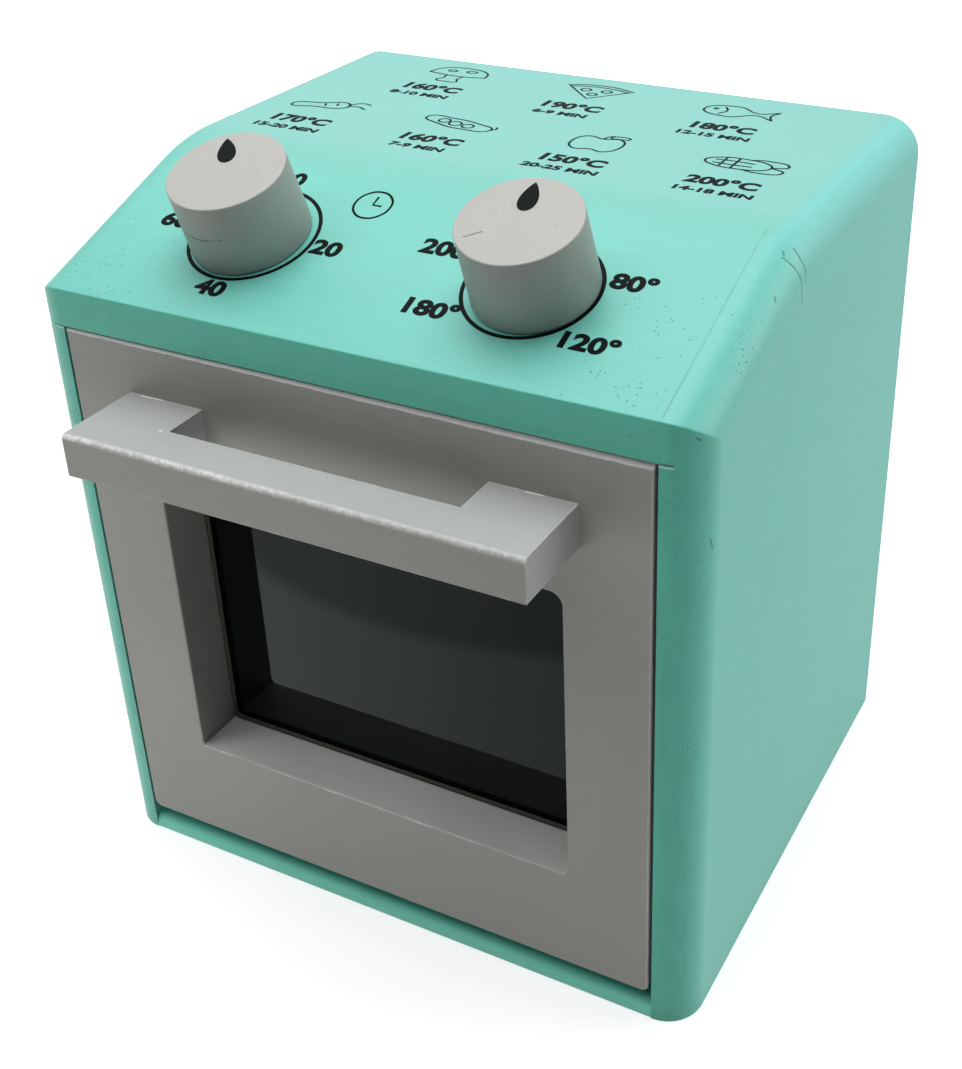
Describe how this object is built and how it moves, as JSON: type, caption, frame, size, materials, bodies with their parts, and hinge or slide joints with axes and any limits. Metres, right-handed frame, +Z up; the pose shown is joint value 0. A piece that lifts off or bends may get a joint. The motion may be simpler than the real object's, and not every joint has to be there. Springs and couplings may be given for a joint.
{
  "type": "toy air fryer",
  "caption": "Wooden toy air fryer with a drop-down windowed door, a bar handle and two turning dials on a sloping panel.",
  "frame": {"origin": "on the table, under the middle of the whole toy with its door shut", "axes": "+X to the toy's right as seen from its front, +Y from the front to the back, +Z up"},
  "size_m": [0.2004, 0.192, 0.2298],
  "materials": {
    "mint_paint": "satin paint on fibreboard",
    "grey_paint": "satin paint on fibreboard",
    "dark_pane": "polished",
    "dark_gasket": "matt",
    "zinc_steel": "zinc plated",
    "magnet_nickel": "nickel plated",
    "bare_beech": "bare, sanded",
    "grey_felt": "pressed felt"
  },
  "bodies": {
    "cabinet": {"left_side_board": "mint_paint", "right_side_board": "mint_paint", "front_rail": "mint_paint", "control_panel": "mint_paint", "top_deck": "mint_paint", "base_board": "mint_paint", "back_board": "mint_paint", "stop_cleat_left": "mint_paint", "stop_cleat_right": "mint_paint", "catch_magnet_left": "magnet_nickel", "catch_magnet_right": "magnet_nickel", "hinge_pin_left": "zinc_steel", "hinge_pin_right": "zinc_steel", "timer_felt_washer": "grey_felt", "temperature_felt_washer": "grey_felt"},
    "door": {"door_panel": "grey_paint", "door_handle": "grey_paint", "handle_screw_left": "zinc_steel", "handle_screw_right": "zinc_steel", "window_gasket": "dark_gasket", "window_pane": "dark_pane", "pane_screw_1": "zinc_steel", "pane_screw_2": "zinc_steel", "pane_screw_3": "zinc_steel", "pane_screw_4": "zinc_steel", "pane_screw_5": "zinc_steel", "pane_screw_6": "zinc_steel", "strike_disc_left": "zinc_steel", "strike_disc_right": "zinc_steel"},
    "timer_dial": {"timer_knob": "grey_paint", "timer_axle": "bare_beech", "timer_retaining_disc": "bare_beech", "timer_retaining_screw": "zinc_steel"},
    "temperature_dial": {"temperature_knob": "grey_paint", "temperature_axle": "bare_beech", "temperature_retaining_disc": "bare_beech", "temperature_retaining_screw": "zinc_steel"}
  },
  "joints": [
    {"name": "door_hinge", "type": "hinge", "parent": "cabinet", "child": "door", "pos_m": [0, -0.061, 0.01761], "axis": [1, 0, 0], "range_deg": [0, 80]},
    {"name": "timer_turn", "type": "hinge", "parent": "cabinet", "child": "timer_dial", "pos_m": [-0.0456, -0.03774, 0.20376], "axis": [0, -0.3443, 0.9389], "continuous": true},
    {"name": "temperature_turn", "type": "hinge", "parent": "cabinet", "child": "temperature_dial", "pos_m": [0.0415, -0.03774, 0.20376], "axis": [0, -0.3443, 0.9389], "continuous": true}
  ]
}
